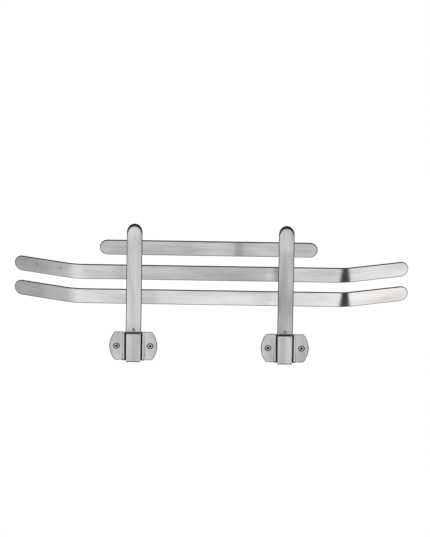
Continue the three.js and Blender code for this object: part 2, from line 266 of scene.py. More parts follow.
def arc(centre, radius, start, end, steps=8):
    x, y = centre
    turns = [start + (end - start) * step / steps for step in range(steps + 1)]
    return [(x + radius * cos(turn), y + radius * sin(turn)) for turn in turns]


def slab(name, outline, thickness, bevel, holes=(), bevel_steps=3):
    """A flat slab in the XY plane, centred on Z = 0, with rounded edges."""
    curve = bpy.data.curves.new(name, "CURVE")
    curve.dimensions = "2D"
    curve.fill_mode = "BOTH"
    for points in (outline, *holes):
        line = curve.splines.new("POLY")
        line.points.add(len(points) - 1)
        for point, (x, y) in zip(line.points, points):
            point.co = (x, y, 0, 1)
        line.use_cyclic_u = True
    curve.extrude = thickness / 2 - bevel
    curve.bevel_depth = bevel
    curve.bevel_resolution = bevel_steps
    curve.offset = -bevel
    mesh = evaluated(link(name, curve), name)
    built = bmesh.new()
    built.from_mesh(mesh)
    bpy.data.meshes.remove(mesh)
    return mesh_of(name, built)


def stand_across(mesh, x):
    """Turns a slab drawn in (y, z) so that its thickness lies along X, about x."""
    mesh.transform(Matrix(((0, 0, 1, x), (1, 0, 0, 0), (0, 1, 0, 0), (0, 0, 0, 1))))
    return mesh


def stand_upright(mesh, y):
    """Turns a slab drawn in (x, z) so that its thickness lies along Y, about y."""
    mesh.transform(Matrix(((1, 0, 0, 0), (0, 0, -1, y), (0, 1, 0, 0), (0, 0, 0, 1))))
    return mesh


def mark(mesh, name, value_of):
    """Stores a value on each face, which the materials read."""
    layer = mesh.attributes.new(name, "FLOAT", "FACE")
    layer.data.foreach_set("value", [float(value_of(face)) for face in mesh.polygons])


def plate_rim(face):
    """A plate's faces are brushed (0), its top edge carries a painted highlight (-1), the rest carries
    painted shade (1).
    """
    if abs(face.normal.y) > 0.995:
        return 0
    return -1 if face.normal.z > 0.1 else 1


def block_rim(face):
    """A block's sides are painted shade (1), and its long bevels carry a painted highlight (-1)."""
    across, up = abs(face.normal.x), face.normal.z
    if across > 0.92 or up < -0.2 or up > 0.95:
        return 1
    return -1 if across > 0.05 or 0.1 < abs(up) < 0.9 else 0


def in_seat(face, offsets, radius):
    """Whether one of a plate's faces belongs to a screw seat, which is painted dark as shade in the
    recess.
    """
    nearest = min(hypot(face.center.x - offset, face.center.z) for offset in offsets)
    return abs(face.normal.y) < 0.99 and nearest < radius


# ---- Bars ----


def bar_stations(start, end, start_rise, end_rise, steps, spacing):
    """Where a bar is divided along its length: (centre, rise, turn) for each station.

    A quarter turn is on the straight part. Larger turns go round the start's end cap, smaller
    ones round the far cap. A rise of 0 is a square end.
    """
    quarter = pi / 2
    first, last = start + start_rise, end - end_rise
    stations = []
    if start_rise:
        stations += [(first, start_rise, pi - quarter * i / steps) for i in range(steps)]
    count = max(1, round((last - first) / spacing))
    stations += [(first + (last - first) * i / count, 0.0, quarter) for i in range(count + 1)]
    if end_rise:
        stations += [(last, end_rise, quarter - quarter * i / steps) for i in range(1, steps + 1)]
    return stations


def bar_section(sizes, strips, round_steps):
    """The bar's section: (share across the face, inset, depth, rim) for each point."""
    edge_round = sizes.edge_round
    border = edge_round + sizes.painted_shade_border
    # A rim of 0.9 at the face's edge and 1 round the sides paint shade there; the face inside the
    # border has 0.
    front = [(-1.0, edge_round, 0.0, 0.9)]
    front += [(2 * i / strips - 1, border, 0.0, 0.0) for i in range(strips + 1)]
    front.append((1.0, edge_round, 0.0, 0.9))
    side = []
    for step in range(1, round_steps + 1):
        turn = pi / 2 * step / round_steps
        side.append((edge_round * (1 - sin(turn)), edge_round * (1 - cos(turn))))
    section = front + [(1.0, inset, depth, 1.0) for inset, depth in side]
    section += [(1.0, inset, BAR_THICKNESS - depth, 1.0) for inset, depth in reversed(side)]
    section += [(-place, inset, BAR_THICKNESS, rim) for place, inset, depth, rim in front]
    section += [(-1.0, inset, BAR_THICKNESS - depth, 1.0) for inset, depth in side]
    return section + [(-1.0, inset, depth, 1.0) for inset, depth in reversed(side)]


def bar_mesh(name, start, end, start_rise, end_rise, place, sizes):
    """A flat bar. place(along, across, depth) gives the point in the frame."""
    section = bar_section(sizes, 8, 4)
    built = bmesh.new()
    rim_layer = built.verts.layers.float.new("rim")
    uv_layer = built.loops.layers.uv.new("bar")
    rows = []
    where = {}
    for centre, rise, turn in bar_stations(start, end, start_rise, end_rise, 14, 5 * MM):
        row = []
        reach = rise or BAR_HALF
        normal = Vector((BAR_HALF * cos(turn), reach * sin(turn))).normalized()
        for share_, inset, depth, rim in section:
            along = centre + rise * cos(turn) - inset * normal.x
            across = share_ * (BAR_HALF * sin(turn) - inset * normal.y)
            vertex = built.verts.new(place(along, across, depth))
            vertex[rim_layer] = rim
            where[vertex] = (along, across + depth)
            row.append(vertex)
        rows.append(row)
    faces = []
    for row, following in zip(rows, rows[1:]):
        faces += zip(row, following, following[1:] + following[:1], row[1:] + row[:1])
    if not start_rise:
        faces.append(rows[0])
    if not end_rise:
        faces.append(rows[-1][::-1])
    for corners in faces:
        for loop in built.faces.new(corners).loops:
            loop[uv_layer].uv = where[loop.vert]
    bmesh.ops.remove_doubles(built, verts=built.verts, dist=1e-7)
    bmesh.ops.dissolve_degenerate(built, edges=built.edges, dist=1e-8)
    return smooth(mesh_of(name, built))


def bend(along, corner, turn, radius):
    """Where a point on a bar's front face goes in plan, and how far the bar has turned there."""
    reach = radius * tan(turn / 2)
    if along <= corner - reach:
        return along, 0.0, 0.0
    if along >= corner + reach:
        beyond = along - corner
        return corner + beyond * cos(turn), beyond * sin(turn), turn
    turned = turn * (along - corner + reach) / (2 * reach)
    return corner - reach + radius * sin(turned), radius * (1 - cos(turned)), turned


def long_slat_place(sizes, z):
    """Places a long slat's points, with both its ends turned back."""

    def place(along, across, depth):
        turn, radius, sign = sizes.left_bend, sizes.left_radius, -1
        if along >= 0:
            low = (BAR_HALF - across) / BAR_WIDTH
            radius = sizes.right_radius_top
            radius += (sizes.right_radius_bottom - sizes.right_radius_top) * low
            turn, sign = sizes.right_bend, 1
        x, y, turned = bend(abs(along), sizes.bend_corner, turn, radius)
        x -= depth * sin(turned)
        y += depth * cos(turned)
        return Vector((sign * x, SLAT_FRONT + y, z + across))

    return place


def arm_place(sizes, x, top):
    """Places an arm's points, with its tip turned back."""
    start = top - sizes.tip_radius * sin(sizes.tip_bend)

    def place(along, across, depth):
        turned = max(0.0, (along - start) / sizes.tip_radius)
        reach = sizes.tip_radius - depth
        y = ARM_FRONT + sizes.tip_radius - reach * cos(turned)
        z = min(along, start) + reach * sin(turned)
        return Vector((x + across, y, z))

    return place


# ---- Materials ----


class Nodes:
    """A short way to add nodes to a tree."""

    def __init__(self, tree):
        self.tree = tree

    def add(self, kind, **values):
        node = self.tree.nodes.new(kind)
        for name, value in values.items():
            setattr(node, name, value)
        return node

    def put(self, value, socket):
        if isinstance(value, bpy.types.NodeSocket):
            self.tree.links.new(value, socket)
        else:
            socket.default_value = value

    def fill(self, node, values):
        for name, value in values.items():
            self.put(value, node.inputs[name])

    def math(self, operation, first, second=0.0, clamp=False):
        node = self.add("ShaderNodeMath", operation=operation, use_clamp=clamp)
        self.put(first, node.inputs[0])
        self.put(second, node.inputs[1])
        return node.outputs[0]

    def times(self, product, *others):
        for other in others:
            product = self.math("MULTIPLY", product, other)
        return product

    def parts(self, vector):
        node = self.add("ShaderNodeSeparateXYZ")
        self.put(vector, node.inputs[0])
        return node.outputs

    def place(self):
        return self.add("ShaderNodeTexCoord").outputs["Object"]

    def stored(self, name):
        return self.add("ShaderNodeAttribute", attribute_name=name).outputs["Fac"]

    def noise(self, vector, scale, detail, roughness, seed, distortion=0.0):
        node = self.add("ShaderNodeTexNoise", noise_dimensions="4D")
        self.fill(node, {"Vector": vector, "W": seed, "Scale": scale, "Detail": detail})
        self.fill(node, {"Roughness": roughness, "Distortion": distortion})
        return node.outputs["Fac"]

    def stretch(self, vector, scale):
        node = self.add("ShaderNodeMapping")
        self.fill(node, {"Vector": vector, "Scale": scale})
        return node.outputs["Vector"]

    def ramp(self, value, low, high, result_low=0.0, result_high=1.0):
        node = self.add("ShaderNodeMapRange", interpolation_type="SMOOTHSTEP")
        for item, socket in zip((value, low, high, result_low, result_high), node.inputs):
            self.put(item, socket)
        return node.outputs[0]

    def mix(self, share_, first, second, blend="MIX"):
        node = self.add("ShaderNodeMix", data_type="RGBA", blend_type=blend)
        self.fill(node, {"Factor": share_, "A": first, "B": second})
        return node.outputs["Result"]

    def shade(self, colour, amount):
        grey = self.add("ShaderNodeCombineColor")
        for socket in grey.inputs:
            self.put(amount, socket)
        return self.mix(1.0, rgba(colour), grey.outputs[0], "MULTIPLY")

    def bump(self, height, strength, distance=0.03 * MM):
        node = self.add("ShaderNodeBump")
        self.fill(node, {"Height": height, "Strength": strength, "Distance": distance})
        return node.outputs["Normal"]


def new_material(name, shader_kind="ShaderNodeBsdfPrincipled"):
    material = bpy.data.materials.new(name)
    material.use_nodes = True
    nodes = Nodes(material.node_tree)
    nodes.tree.nodes.clear()
    shader = nodes.add(shader_kind)
    nodes.put(shader.outputs[0], nodes.add("ShaderNodeOutputMaterial").inputs["Surface"])
    return material, nodes, shader


def rgba(colour):
    return (*colour, 1.0)


def tone_along(nodes, along, tones):
    """The steel's brightness at a place along a bar, from (place, brightness) pairs."""
    start, end = tones[0][0], tones[-1][0]
    curve = nodes.add("ShaderNodeFloatCurve")
    share_ = nodes.math("DIVIDE", nodes.math("SUBTRACT", along, start), end - start, clamp=True)
    nodes.put(share_, curve.inputs["Value"])
    points = curve.mapping.curves[0].points
    spots = [((where - start) / (end - start), tone) for where, tone in tones]
    points[0].location = spots[0]
    points[1].location = spots[-1]
    for spot in spots[1:-1]:
        points.new(*spot)
    curve.mapping.update()
    return curve.outputs[0]


def brushed_steel(name, grain, tones, seed, roughness=0.24, stains=()):
    """Brushed steel. The grain follows a "bar" along its own length, or "z", or is "even".

    tones is the steel's brightness, or (place along the bar, brightness) pairs that paint the
    bar's reflections as well as its clouding. stains are (x, z, radius, darkness) small spots.
    """
    finish = settings().finish
    brushing, clouding = finish.brushing, finish.clouding
    material, nodes, shader = new_material(name)
    on_bar = grain == "bar"
    place = nodes.add("ShaderNodeUVMap", uv_map="bar").outputs["UV"] if on_bar else nodes.place()
    along, across = 16.0, 2600.0
    strokes = {"bar": (along, across, across), "z": (across, across, along), "even": (900.0,) * 3}
    stroke = strokes[grain]
    fine = nodes.noise(nodes.stretch(place, stroke), 1.0, 4.0, 0.65, seed)
    broad_stroke = tuple(value / 5 for value in stroke)
    broad = nodes.noise(nodes.stretch(place, broad_stroke), 1.0, 3.0, 0.6, seed + 3)
    cloud = (9.0, 55.0, 55.0) if on_bar else (55.0, 55.0, 9.0)
    clouds = nodes.noise(nodes.stretch(place, cloud), 1.0, 3.0, 0.55, seed + 7, 0.4)
    if isinstance(tones, tuple):
        tones = tone_along(nodes, nodes.parts(place)[0], tones)
    amount = nodes.times(
        nodes.ramp(clouds, 0.3, 0.7, 1.0 - 0.24 * clouding, 1.0 + 0.1 * clouding),
        nodes.ramp(fine, 0.25, 0.75, 1.0 - 0.22 * brushing, 1.0 + 0.14 * brushing),
        nodes.ramp(broad, 0.3, 0.7, 1.0 - 0.1 * brushing, 1.0 + 0.08 * brushing),
        tones,
    )
    for x, z, radius, darkness in stains:
        here = nodes.parts(nodes.place())
        off_x = nodes.math("SUBTRACT", here[0], x)
        off_z = nodes.math("SUBTRACT", here[2], z)
        away = nodes.math("ADD", nodes.times(off_x, off_x), nodes.times(off_z, off_z))
        away = nodes.math("SQRT", away)
        amount = nodes.times(amount, nodes.ramp(away, radius * 0.35, radius, 1.0 - darkness, 1.0))
    # The rim value paints shade: towards 1 the steel fades to the dark edge colour, mottled by a
    # little noise.
    rim = nodes.stored("rim")
    # A rim of -1 brightens the face up to 1.22 times, as a painted highlight.
    face = nodes.shade(finish.steel, nodes.times(amount, nodes.ramp(rim, -1.0, 0.0, 1.22, 1.0)))
    edge_shade_mottle = nodes.noise(place, 420.0, 2.0, 0.5, seed + 11)
    edge = nodes.shade(finish.steel_edge, nodes.ramp(edge_shade_mottle, 0.3, 0.7, 0.7, 1.5))
    painted_edge_shade = nodes.ramp(rim, 0.0, 1.0)
    steel = nodes.mix(painted_edge_shade, face, edge)
    rough = nodes.ramp(clouds, 0.3, 0.7, roughness + 0.05, roughness - 0.03)
    rough = nodes.math("ADD", rough, nodes.times(nodes.math("SUBTRACT", fine, 0.5), 0.16))
    rough = nodes.math("ADD", rough, nodes.times(painted_edge_shade, 0.16), clamp=True)
    lines = nodes.math("ADD", fine, nodes.times(broad, 0.6))
    # Faces marked in recesses and round heads are painted near black as shade.
    nodes.fill(shader, {
        "Base Color": nodes.mix(nodes.stored("soil"), steel, (0.01, 0.01, 0.01, 1.0)),
        "Roughness": rough,
        "Metallic": 1.0,
        "Normal": nodes.bump(lines, 0.25 * brushing),
    })
    if on_bar:
        tangent = nodes.add("ShaderNodeTangent", direction_type="UV_MAP", uv_map="bar").outputs[0]
        nodes.fill(shader, {"Anisotropic": 0.6, "Anisotropic Rotation": 0.25, "Tangent": tangent})
    return material


def turned_steel(name, seed, colour=(0.42, 0.41, 0.4)):
    """Steel as it comes off a lathe or a header: fine specks and a little dull."""
    material, nodes, shader = new_material(name)
    specks = nodes.noise(nodes.place(), 2600.0, 3.0, 0.6, seed)
    dull = nodes.noise(nodes.place(), 500.0, 3.0, 0.55, seed + 5)
    amount = nodes.times(nodes.ramp(specks, 0.3, 0.7, 0.82, 1.1), nodes.ramp(dull, 0.3, 0.7, 0.7, 1.1))
    clean = nodes.shade(colour, amount)
    # Faces marked in recesses and round heads are painted near black as shade.
    nodes.fill(shader, {
        "Base Color": nodes.mix(nodes.stored("soil"), clean, (0.012, 0.011, 0.01, 1.0)),
        "Roughness": nodes.ramp(dull, 0.3, 0.7, 0.46, 0.28),
        "Metallic": 1.0,
        "Normal": nodes.bump(specks, 0.2),
    })
    return material


def moulded(name, colour, grain, roughness, seed, sheen):
    """A moulded black part: fine grain, with a little dust where it is rubbed."""
    material, nodes, shader = new_material(name)
    fine = nodes.noise(nodes.place(), grain, 3.0, 0.6, seed)
    patches = nodes.noise(nodes.place(), grain / 14, 3.0, 0.55, seed + 2)
    pale = tuple(min(1.0, value * 2.6 + 0.004) for value in colour)
    dusty = nodes.ramp(patches, 0.45, 0.75, 0.0, 0.5)
    nodes.fill(shader, {
        "Base Color": nodes.mix(dusty, rgba(colour), rgba(pale)),
        "Roughness": nodes.ramp(fine, 0.3, 0.7, roughness - 0.08, roughness + 0.1),
        "Specular IOR Level": sheen,
        "Normal": nodes.bump(fine, 0.35, 0.06 * MM),
    })
    return material


# ---- Repeated fasteners ----


def skin(name, built, rows):
    """A mesh of closed rows of vertices joined with faces, and closed at both ends."""
    for row, following in zip(rows, rows[1:]):
        for corners in zip(row, row[1:] + row[:1], following[1:] + following[:1], following):
            built.faces.new(corners)
    built.faces.new(rows[0][::-1])
    built.faces.new(rows[-1])
    return mesh_of(name, built)


def lathe(name, profile, segments=28, radius_at=None):
    """A closed turned body about the Y axis from (radius, y) pairs."""
    built = bmesh.new()
    rows = []
    for radius, y in profile:
        row = []
        for step in range(segments):
            turn = 2 * pi * step / segments
            here = radius_at(radius, y, turn) if radius_at else radius
            row.append(built.verts.new((here * cos(turn), y, here * sin(turn))))
        rows.append(row)
    return skin(name, built, rows)


def dome(radius, height, base, direction, steps=5):
    """A rivet head's profile from its rim at y = base to its crown."""
    quarter = arc((0, 0), 1, 0, pi / 2, steps)[:-1]
    profile = [(radius * r, base + direction * height * y) for r, y in quarter]
    return profile + [(radius * 0.08, base + direction * height)]


def cross_recess(sizes):
    """A tapered cross that cuts the recess in a screw's head, pointing along +Y."""
    bars = []
    for long_x in (True, False):
        built = bmesh.new()
        rows = []
        for y, taper in ((-0.3 * MM, 1.04), (sizes.recess_depth, 0.45)):
            wide = sizes.recess_length / 2 * taper
            thin = sizes.recess_width / 2 * (0.5 + taper / 2)
            x, z = (wide, thin) if long_x else (thin, wide)
            corners = ((-x, -z), (x, -z), (x, z), (-x, z))
            rows.append([built.verts.new((a, y, b)) for a, b in corners])
        bars.append(skin("recess_bar", built, rows))
    return cut(*bars, "UNION")


def wall_screw(sizes, length_along):
    """One countersunk wood screw, its head at y = 0 and its point towards +Y."""
    tip = length_along - sizes.head_sink
    thread_start = sizes.head_depth + 4 * MM
    head, core = sizes.head_radius, sizes.core_radius
    ridge = sizes.thread_radius - core

    def radius_at(radius, y, turn):
        if y < thread_start:
            return radius
        phase = (y / sizes.pitch - turn / (2 * pi)) % 1.0
        height = max(0.0, 1 - abs(phase - 0.5) / 0.28)
        taper = min(1.0, (tip - y) / sizes.point)
        grow = min(1.0, (y - thread_start) / sizes.pitch)
        return radius * taper + ridge * height * grow * taper + 0.05 * MM

    # Faces in the cross recess and round the head's rim are painted dark as shade.
    def shaded_in_recess(face):
        across = hypot(face.center.x, face.center.z)
        sunk = 0.1 * MM < face.center.y < sizes.recess_depth + 0.1 * MM
        return (sunk and across < sizes.recess_length / 2) or across > head * 0.96

    profile = [(head - 0.25 * MM, 0.0), (head, 0.2 * MM), (head - 0.1 * MM, 0.45 * MM)]
    profile += [(core * 1.12, sizes.head_depth), (core * 1.12, thread_start)]
    step = sizes.pitch / 9
    y = thread_start
    while y < tip - step:
        y += step
        profile.append((core, y))
    profile.append((core, tip))
    screw = lathe("wall_screw_unit", profile, radius_at=radius_at)
    screw = smooth(cut(screw, cross_recess(sizes), "DIFFERENCE"), ROUND_PART)
    mark(screw, "soil", shaded_in_recess)
    return screw


def foot_rivet(sizes, back):
    """One small domed rivet, its head's rim on the arm at y = 0."""
    head, shank = sizes.foot_head, sizes.foot_head * 0.6
    profile = dome(head, 0.9 * MM, -0.02 * MM, -1)[::-1] + [(shank, 0.05 * MM), (shank, back)]
    rivet = smooth(lathe("foot_rivet_unit", profile), ROUND_PART)
    # The head's outer rim, where it meets the arm, is painted dark as shade.
    mark(rivet, "soil", lambda face: hypot(face.center.x, face.center.z) > head * 0.8)
    return rivet


def slat_rivet(sizes, front, back):
    """One rivet behind a slat: its shank starts inside the arm, at y = front."""
    profile = [(2 * MM, front), (2 * MM, back)]
    profile += dome(sizes.slat_head, sizes.slat_head_height, back, 1)
    return smooth(lathe("slat_rivet_unit", profile), ROUND_PART)


def fastener_tree():
    """A tree that sets a unit piece on each point, turned its own way about Y."""
    tree = bpy.data.node_groups.new("fasteners_on_points", "GeometryNodeTree")
    for name, way, kind in (
        ("Points", "INPUT", "Geometry"),
        ("Piece", "INPUT", "Object"),
        ("Most turn", "INPUT", "Float"),
        ("Seed", "INPUT", "Int"),
        ("Finish", "INPUT", "Material"),
        ("Pieces", "OUTPUT", "Geometry"),
    ):
        tree.interface.new_socket(name, in_out=way, socket_type="NodeSocket" + kind)
    nodes = Nodes(tree)
    given = nodes.add("NodeGroupInput").outputs
    turn = nodes.add("FunctionNodeRandomValue", data_type="FLOAT")
    least, most = [socket for socket in turn.inputs if socket.type == "VALUE"][:2]
    nodes.put(0.0, least)
    nodes.put(given["Most turn"], most)
    nodes.put(given["Seed"], turn.inputs["Seed"])
    spin = nodes.add("ShaderNodeCombineXYZ")
    nodes.put([socket for socket in turn.outputs if socket.type == "VALUE"][0], spin.inputs["Y"])
    info = nodes.add("GeometryNodeObjectInfo")
    nodes.put(given["Piece"], info.inputs["Object"])
    on_points = nodes.add("GeometryNodeInstanceOnPoints")
    nodes.fill(on_points, {"Points": given["Points"], "Instance": info.outputs["Geometry"]})
    nodes.put(spin.outputs[0], on_points.inputs["Rotation"])
    realize = nodes.add("GeometryNodeRealizeInstances")
    nodes.put(on_points.outputs[0], realize.inputs[0])
    finish = nodes.add("GeometryNodeSetMaterial")
    nodes.fill(finish, {"Geometry": realize.outputs[0], "Material": given["Finish"]})
    nodes.put(finish.outputs[0], nodes.add("NodeGroupOutput").inputs[0])
    return tree


def set_on_points(name, unit, nodes, y, most_turn, material):
    """One plain mesh of the unit set in the middle of each CAD node, at y."""
    tree = bpy.data.node_groups.get("fasteners_on_points") or fastener_tree()
    piece = link(name + "_unit", unit)
    places = bpy.data.meshes.new(name)
    places.from_pydata([(middle_of(node).x, y, middle_of(node).z) for node in nodes], [], [])
    holder = link(name, places)
    modifier = holder.modifiers.new("Fasteners", "NODES")
    modifier.node_group = tree
    seed = settings().fasteners.seed
    values = {"Piece": piece, "Most turn": most_turn, "Seed": seed, "Finish": material}
    for item in tree.interface.items_tree:
        if item.in_out == "INPUT" and item.name in values:
            modifier[item.identifier] = values[item.name]
    mesh = evaluated(holder, name)
    bpy.data.objects.remove(piece)
    bpy.data.meshes.remove(unit)
    return mesh


# ---- Tones of the bars ----

# Slow changes of tone along each bar, as (metres along it, brightness) pairs: painted reflections as
# well as clouding.
LOWER_TONES = (
    (-0.32, 0.8), (-0.28, 0.78), (-0.26, 0.95), (-0.225, 1.0), (-0.2, 0.92), (-0.19, 0.9),
    (-0.145, 0.84), (-0.1, 0.68), (-0.075, 0.82), (0.01, 0.9), (0.06, 0.88), (0.088, 0.84),
    (0.102, 0.94), (0.15, 1.0), (0.32, 1.0),
)
MIDDLE_TONES = (
    (-0.32, 0.75), (-0.28, 0.82), (-0.225, 1.0), (-0.2, 0.8), (-0.16, 0.79), (-0.145, 0.7),
    (-0.08, 0.66), (-0.02, 0.57), (0.05, 0.56), (0.085, 0.6), (0.096, 0.73), (0.108, 0.44),
    (0.136, 0.85), (0.15, 0.85), (0.195, 0.8), (0.225, 0.9), (0.32, 0.9),
)
UPPER_TONES = (
    (-0.177, 0.65), (-0.15, 0.62), (-0.1, 0.7), (-0.04, 0.67), (0.015, 0.76), (0.034, 0.73),
    (0.045, 0.51), (0.056, 0.66), (0.086, 0.75), (0.14, 0.77), (0.171, 0.83),
)
LEFT_TONES = (
    (0.026, 0.85), (0.036, 0.9), (0.046, 1.0), (0.058, 1.0), (0.085, 0.92), (0.1, 0.91),
    (0.15, 0.85), (0.173, 0.79), (0.198, 0.94), (0.21, 1.0),
)
RIGHT_TONES = (
    (0.026, 0.66), (0.05, 0.64), (0.068, 0.56), (0.085, 0.54), (0.1, 0.62), (0.12, 0.7),
    (0.135, 0.74), (0.162, 0.75), (0.175, 0.88), (0.188, 0.89), (0.2, 0.84), (0.21, 0.78),
)
# Small stains on the middle slat, as (x, z, radius, darkness).
MIDDLE_STAINS = (
    (-0.2774, 0.1318, 0.0026, 0.34), (-0.2398, 0.1314, 0.003, 0.3),
    (-0.1982, 0.1304, 0.0026, 0.14), (-0.1542, 0.1304, 0.0026, 0.22),
)


# ---- Operators ----


class WALLRACK_OT_slats(Operator):
    """Make the three slats"""

    bl_idname = "wall_rack.slats"
    bl_label = "Slats"

    def execute(self, context):
        sizes = settings().bars
        corner = sizes.bend_corner
        for slat, tones, seed, roughness, stains in (
            ("lower", LOWER_TONES, 1.0, 0.18, ()),
            ("middle", MIDDLE_TONES, 2.0, 0.2, MIDDLE_STAINS),
            ("upper", UPPER_TONES, 3.0, 0.24, ()),
        ):
            low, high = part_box("slat_" + slat)
            start, end = low.x, high.x
            if slat != "upper":
                start = -corner - (-low.x - corner) / cos(sizes.left_bend)
                end = corner + (high.x - corner) / cos(sizes.right_bend)
            name = slat + "_slat"
            place = long_slat_place(sizes, (low.z + high.z) / 2)
            mesh = bar_mesh(name, start, end, BAR_HALF, BAR_HALF, place, sizes)
            material = brushed_steel(name + "_steel", "bar", tones, seed, roughness, stains)
            finish_piece(name, mesh, material, "rack", ["slat_" + slat])
        return {"FINISHED"}


class WALLRACK_OT_arms(Operator):
    """Make the two arms"""

    bl_idname = "wall_rack.arms"
    bl_label = "Arms"

    def execute(self, context):
        sizes = settings().bars
        for side, tones, seed in (("left", LEFT_TONES, 4.0), ("right", RIGHT_TONES, 5.0)):
            low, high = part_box("arm_" + side)
            place = arm_place(sizes, (low.x + high.x) / 2, high.z)
            end = high.z + sizes.tip_radius * (sizes.tip_bend - sin(sizes.tip_bend))
            name = side + "_arm"
            mesh = bar_mesh(name, low.z, end, 0.0, sizes.tip_rise, place, sizes)
            material = brushed_steel(name + "_steel", "bar", tones, seed)
            finish_piece(name, mesh, material, "rack", ["arm_" + side])
        return {"FINISHED"}


def plate_outline(sizes, half_width, half_height):
    """Straight top and bottom edges, and ends bulged to an arc."""
    bulge = half_width - sizes.plate_straight / 2
    end_radius = (half_height**2 + bulge**2) / (2 * bulge)
    end_centre = half_width - end_radius
    corner = sizes.corner_radius
    corner_z = half_height - corner
    corner_x = end_centre + sqrt((end_radius - corner) ** 2 - corner_z**2)
    join = atan2(corner_z, corner_x - end_centre)
    quarter = pi / 2
    right = arc((corner_x, -corner_z), corner, -quarter, -join, 6)
    right += arc((end_centre, 0), end_radius, -join, join, 16)[1:]
    right += arc((corner_x, corner_z), corner, join, quarter, 6)[1:]
    left = [(-x, -z) for x, z in right]
    return right + left


def ear_outline(sizes, root, inset, top):
    """Round about the pin, and sloped back to the plate at the top."""
    nose = sizes.ear_nose - inset
    front = -sizes.plate_thickness - sizes.ear_top_depth + inset
    points = [(root, top), (front, top)]
    points += arc((PIN.y, PIN.z), nose, pi, 1.5 * pi, 8)
    points.append((root, PIN.z - nose))
    return list(reversed(points))


def pin_hole():
    """The outline of the hole for a hinge pin."""
    return arc((PIN.y, PIN.z), settings().knuckles.pin_hole, 0, 2 * pi, 24)[:-1]


def countersink(sizes, x):
    """The tool that cuts a screw's hole, with a softened mouth."""
    front = -sizes.plate_thickness
    seat, hole = sizes.seat_radius, sizes.hole_radius
    soft = 0.25 * MM
    profile = [(seat + soft, front - 0.5 * MM), (seat + soft, front), (seat, front + soft * 0.6)]
    profile += [(hole, front + (seat - hole) * 0.85), (hole, 0.5 * MM)]
    mesh = lathe("countersink", profile, 40)
    mesh.transform(Matrix.Translation((x, 0, 0)))
    return mesh


class WALLRACK_OT_brackets(Operator):
    """Make the two wall plates with their ears"""

    bl_idname = "wall_rack.brackets"
    bl_label = "Wall plates"

    def execute(self, context):
        sizes = settings().brackets
        half_height = size_of("bracket_left").z / 2
        ear_place = size_of("pivot_pin_left").x / 2 - sizes.ear_thickness / 2
        thickness = sizes.plate_thickness
        middle = PLATE_BACK - thickness / 2
        offsets = (-sizes.screw_offset, sizes.screw_offset)
        points = ear_outline(sizes, middle, 0.0, half_height)
        for side, seed in (("left", 21.0), ("right", 34.0)):
            node = "bracket_" + side
            outline = plate_outline(sizes, size_of(node).x / 2, half_height)
            plate = slab(side + "_bracket", outline, thickness, sizes.plate_bevel)
            stand_upright(plate, middle)
            for centre in (-ear_place, ear_place):
                ear = slab("ear", points, sizes.ear_thickness, sizes.ear_bevel, [pin_hole()])
                plate = cut(plate, stand_across(ear, centre), "UNION")
            for offset in offsets:
                plate = cut(plate, countersink(sizes, offset), "DIFFERENCE")
            plate = smooth(plate)
            mark(plate, "rim", plate_rim)
            # The screw seats are painted dark as shade.
            mark(plate, "soil", lambda face: in_seat(face, offsets, sizes.seat_radius))
            plate.transform(Matrix.Translation((middle_of(node).x, 0, 0)))
            material = brushed_steel(side + "_plate_steel", "even", 0.82, seed, 0.3)
            finish_piece(side + "_wall_plate", plate, material, "brackets", [node])
        return {"FINISHED"}


class WALLRACK_OT_spacers(Operator):
    """Make the black spacers beside the hinge blocks"""

    bl_idname = "wall_rack.spacers"
    bl_label = "Spacers"

    def execute(self, context):
        sizes = settings().brackets
        material = moulded("black_nylon", settings().finish.nylon, 2200.0, 0.55, 0.0, 0.08)
        for side, place in ((side, place) for side in SIDES for place in "ab"):
            node = f"side_spacer_{side}_{place}"
            low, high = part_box(node)
            inset = sizes.ear_nose - (PIN.z - low.z)
            points = ear_outline(sizes, high.y, inset, high.z)
            mesh = slab(node, points, high.x - low.x, 0.25 * MM, [pin_hole()], 2)
            mesh = smooth(stand_across(mesh, (low.x + high.x) / 2))
            finish_piece(f"{side}_spacer_{place}", mesh, material, "brackets", [node])
        return {"FINISHED"}


class WALLRACK_OT_knuckles(Operator):
    """Make the two hinge blocks with the tongues behind the arms' feet"""

    bl_idname = "wall_rack.knuckles"
    bl_label = "Hinge blocks"

    def execute(self, context):
        sizes = settings().knuckles
        quarter = pi / 2
        top, top_round, front_round = sizes.block_top, sizes.top_round, sizes.front_round
        for side, seed in (("left", 41.0), ("right", 52.0)):
            node = "knuckle_" + side
            low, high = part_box(node)
            points = [(high.y, high.z), (sizes.tongue_front, high.z), (sizes.tongue_front, top)]
            points += arc((low.y + top_round, top - top_round), top_round, quarter, 2 * quarter, 5)
            corner = (low.y + front_round, low.z + front_round)
            points += arc(corner, front_round, 2 * quarter, 3 * quarter)
            points += arc((PIN.y, PIN.z), high.y - PIN.y, -quarter, 0, 10)
            mesh = slab(node, points, high.x - low.x, sizes.bevel, [pin_hole()], 4)
            mesh = smooth(stand_across(mesh, (low.x + high.x) / 2))
            mark(mesh, "rim", block_rim)
            material = brushed_steel(side + "_block_steel", "z", 0.81, seed, 0.27)
            finish_piece(side + "_hinge_block", mesh, material, "rack", [node])
        return {"FINISHED"}


class WALLRACK_OT_pins(Operator):
    """Make the two hinge pins, with peened ends"""

    bl_idname = "wall_rack.pins"
    bl_label = "Hinge pins"

    def execute(self, context):
        material = turned_steel("pin_steel", 3.0)
        half, radius = size_of("pivot_pin_left").x / 2, size_of("pivot_pin_left").y / 2
        head = dome(radius * 1.35, 0.8 * MM, half + 0.02 * MM, 1)
        profile = [(r, -y) for r, y in reversed(head)] + [(radius, -half), (radius, half)] + head
        turn = Matrix.Rotation(-pi / 2, 4, "Z")
        for side in SIDES:
            node = "pivot_pin_" + side
            mesh = lathe(node, profile, 32)
            mesh.transform(Matrix.Translation(middle_of(node)) @ turn)
            mesh = smooth(mesh, ROUND_PART)
            finish_piece(side + "_hinge_pin", mesh, material, "brackets", [node])
        return {"FINISHED"}


